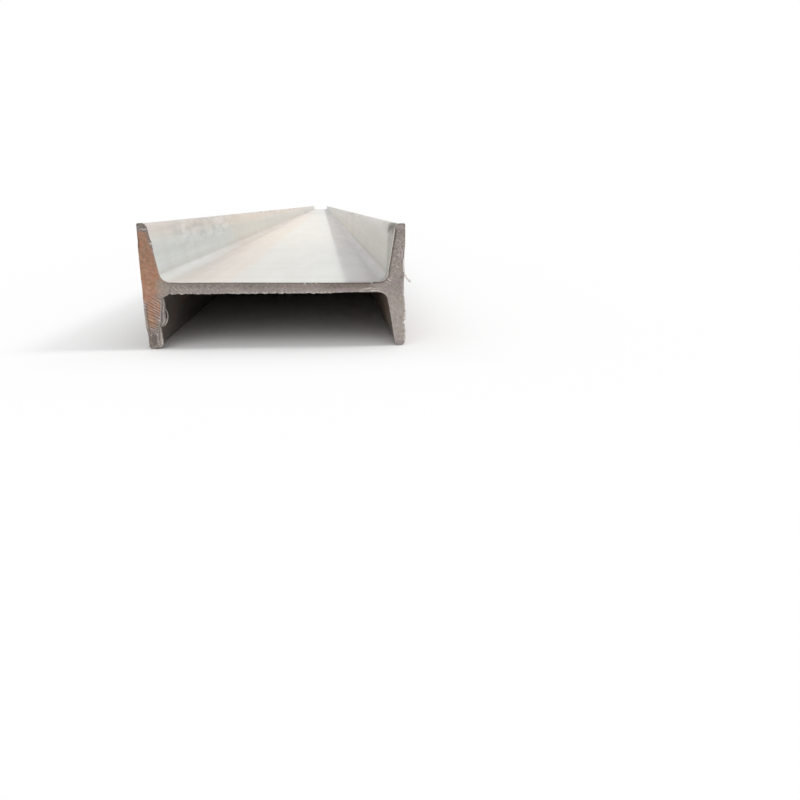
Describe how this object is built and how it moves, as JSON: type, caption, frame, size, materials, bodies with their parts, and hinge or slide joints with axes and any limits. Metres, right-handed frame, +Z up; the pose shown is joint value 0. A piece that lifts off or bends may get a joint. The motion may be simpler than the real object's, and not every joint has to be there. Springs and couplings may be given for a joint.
{
  "type": "steel i-beam",
  "caption": "Long straight hot-rolled steel I-beam with tapered flanges and square sawn ends, lying on its flange tips.",
  "frame": {"origin": "midway along the beam and midway between its flanges, on the plane that the flange tips rest on", "axes": "+Y along the beam, X across the section from flange to flange, +Z up, square to the web"},
  "size_m": [0.25, 12, 0.118],
  "materials": {
    "rolled_steel": "hot-rolled mill scale, dull to semi-gloss, with light rust on the faces and fresher rust on the sawn ends"
  },
  "bodies": {
    "root": {"i_beam": "rolled_steel"}
  },
  "joints": []
}
